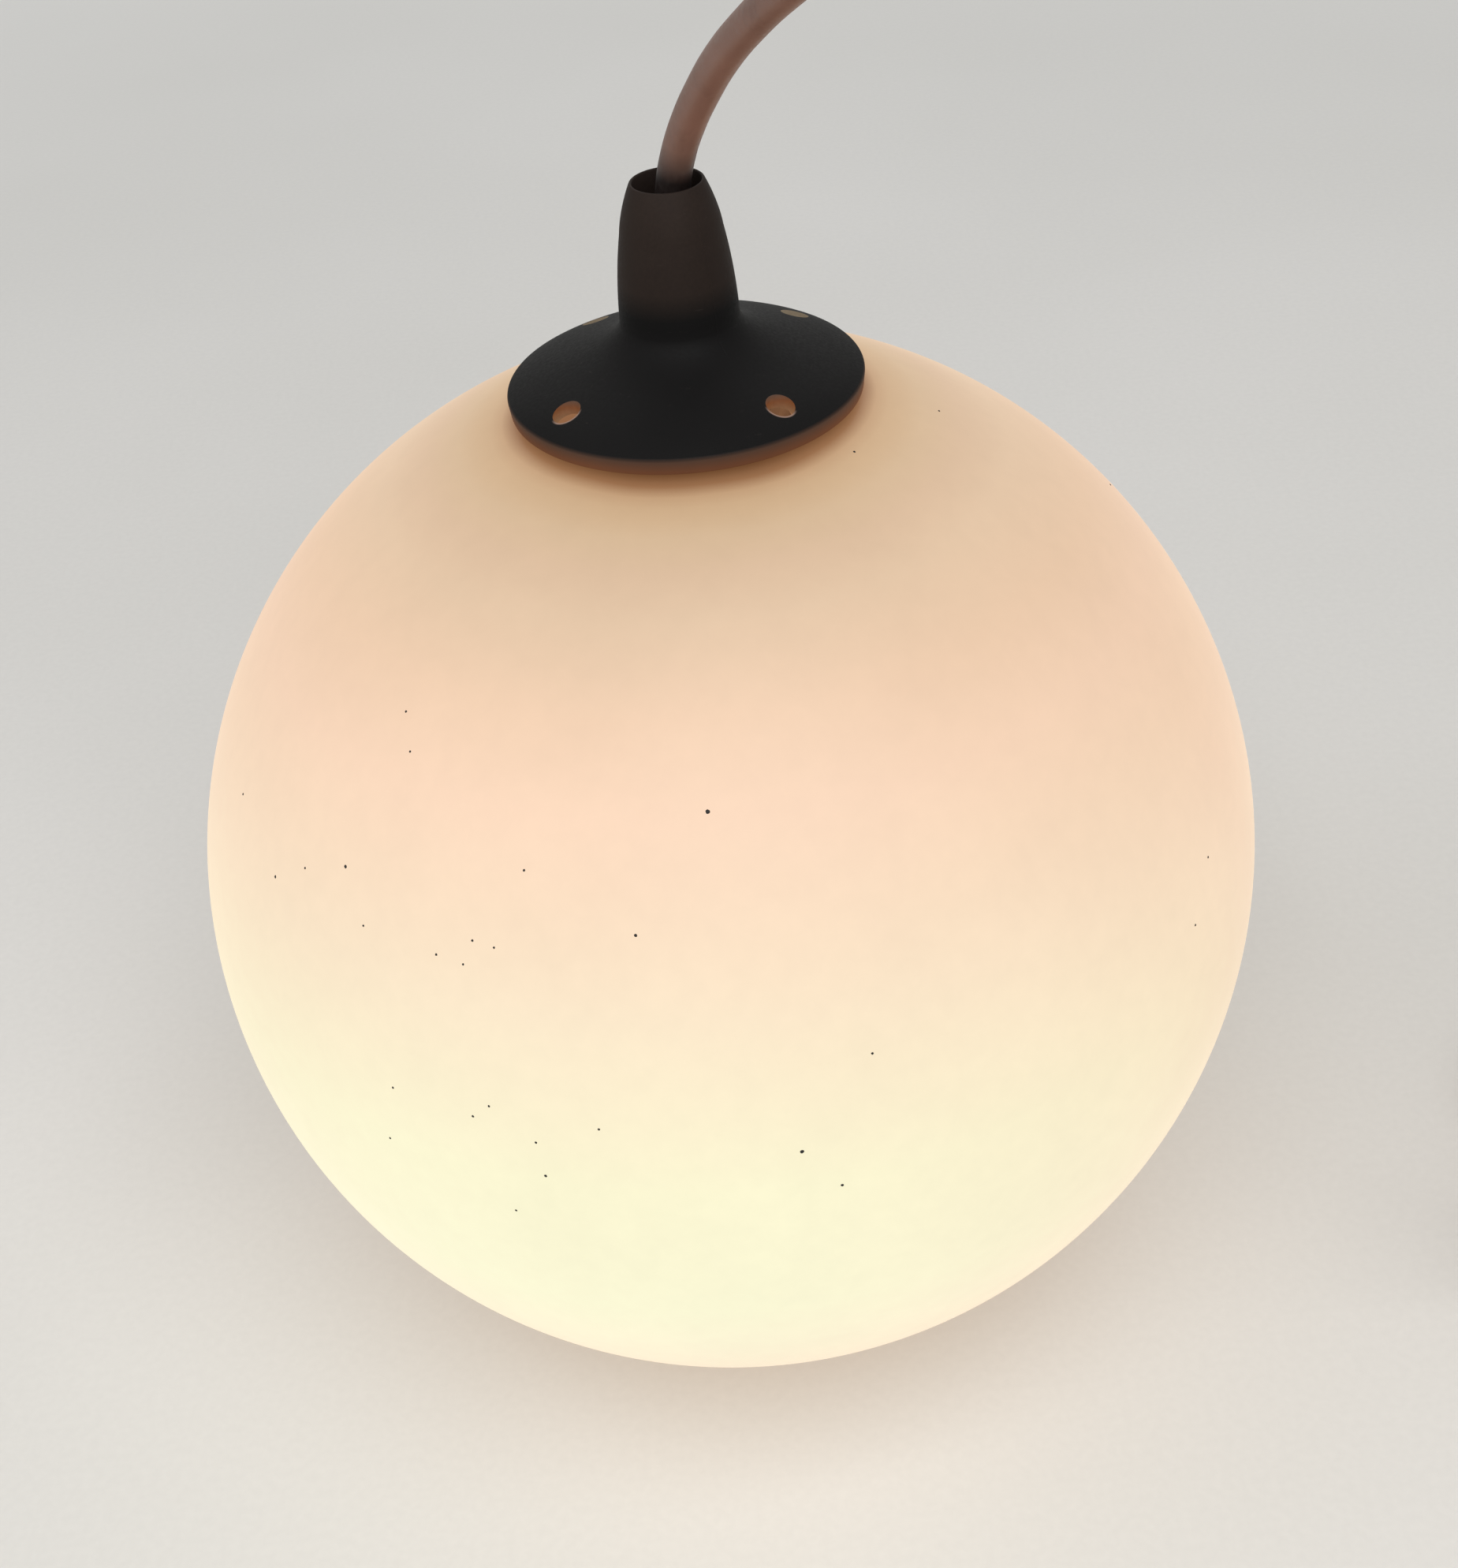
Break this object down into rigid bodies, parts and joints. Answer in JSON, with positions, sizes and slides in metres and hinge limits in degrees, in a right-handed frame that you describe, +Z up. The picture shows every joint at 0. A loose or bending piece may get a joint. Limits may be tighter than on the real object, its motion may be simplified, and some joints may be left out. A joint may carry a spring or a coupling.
{
  "type": "opaline pendant light",
  "caption": "Opal glass ball pendant light with a domed, vented cap, spring claws, screw-in bulb, cord and ceiling cup.",
  "frame": {"origin": "centre of the cord opening at the top of the cap's neck", "axes": "+Z up along the lamp's axis, -Y towards the picture's camera, +X to its right"},
  "size_m": [0.344, 0.254, 0.3004],
  "materials": {
    "opal_glass": "gloss, opal, lit from inside",
    "tan_rubber": "matt",
    "charcoal_plastic": "fine satin",
    "zinc_steel": "zinc plated",
    "grip_nylon": "satin",
    "bakelite": "moulded, semi-gloss",
    "porcelain": "glazed",
    "brass": "bright",
    "red_silicone": "matt",
    "cord_tan": "satin",
    "brown_core": "satin",
    "blue_core": "satin",
    "bulb_aluminium": "rolled, bright",
    "solder": "dull",
    "clear_glass": "clear gloss",
    "tungsten": "glowing",
    "cup_plastic": "moulded, semi-gloss",
    "white_plastic": "satin"
  },
  "bodies": {
    "lamp": {"globe": "opal_glass", "seal_ring": "tan_rubber", "cap": "charcoal_plastic", "claw_plate": "zinc_steel", "plate_screws": "zinc_steel", "nipple": "zinc_steel", "nipple_nut": "zinc_steel", "lock_washer": "zinc_steel", "cord_grip": "grip_nylon", "grip_screw": "zinc_steel", "cord_in_neck": "cord_tan", "brown_wire": "brown_core", "blue_wire": "blue_core", "holder_dome": "bakelite", "holder_insert": "porcelain", "holder_skirt": "bakelite", "screw_shell": "brass", "centre_contact": "brass", "terminal_screws": "brass", "claw_pins": "zinc_steel", "claw_springs": "zinc_steel", "cord": "cord_tan", "cord_coil": "cord_tan", "coil_tie": "white_plastic", "cord_to_cup": "cord_tan", "ceiling_cup": "cup_plastic", "cup_screw": "white_plastic", "cord_clamp_eye": "zinc_steel", "cup_wires": "brown_core", "terminal_block": "white_plastic", "terminal_barrels": "brass", "block_screws": "brass"},
    "claw_1": {"claw_arm_1": "zinc_steel", "claw_sleeve_1": "red_silicone", "spring_leg_1": "zinc_steel"},
    "claw_2": {"claw_arm_2": "zinc_steel", "claw_sleeve_2": "red_silicone", "spring_leg_2": "zinc_steel"},
    "claw_3": {"claw_arm_3": "zinc_steel", "claw_sleeve_3": "red_silicone", "spring_leg_3": "zinc_steel"},
    "bulb_lift": {"bulb_contact_pip": "solder"},
    "bulb": {"bulb_insulator": "bakelite", "bulb_base": "bulb_aluminium", "bulb_glass": "clear_glass", "bulb_stem": "clear_glass", "bulb_lead_wires": "zinc_steel", "bulb_filament": "tungsten"}
  },
  "joints": [
    {"name": "claw_1_fold", "type": "hinge", "parent": "lamp", "child": "claw_1", "pos_m": [0.02046, 0.0081, -0.0396], "axis": [-0.3681, 0.9298, 0], "range_deg": [0, 60], "stiffness_Nm_per_rad": 0.06, "springref_deg": -28.65},
    {"name": "claw_2_fold", "type": "hinge", "parent": "lamp", "child": "claw_2", "pos_m": [-0.01724, 0.01367, -0.0396], "axis": [-0.6212, -0.7837, 0], "range_deg": [0, 60], "stiffness_Nm_per_rad": 0.06, "springref_deg": -28.65},
    {"name": "claw_3_fold", "type": "hinge", "parent": "lamp", "child": "claw_3", "pos_m": [-0.00321, -0.02176, -0.0396], "axis": [0.9893, -0.1461, 0], "range_deg": [0, 60], "stiffness_Nm_per_rad": 0.06, "springref_deg": -28.65},
    {"name": "bulb_lift", "type": "slide", "parent": "lamp", "child": "bulb_lift", "axis": [0, 0, -1], "range_m": [0, 0.01452]},
    {"name": "bulb_turn", "type": "hinge", "parent": "bulb_lift", "child": "bulb", "pos_m": [0, 0, 0], "axis": [0, 0, -1], "range_deg": [0, 1440]}
  ],
  "couplings": [
    {"joint": "bulb_lift", "follows": "bulb_turn", "m_per_rad": 0.00057757}
  ]
}
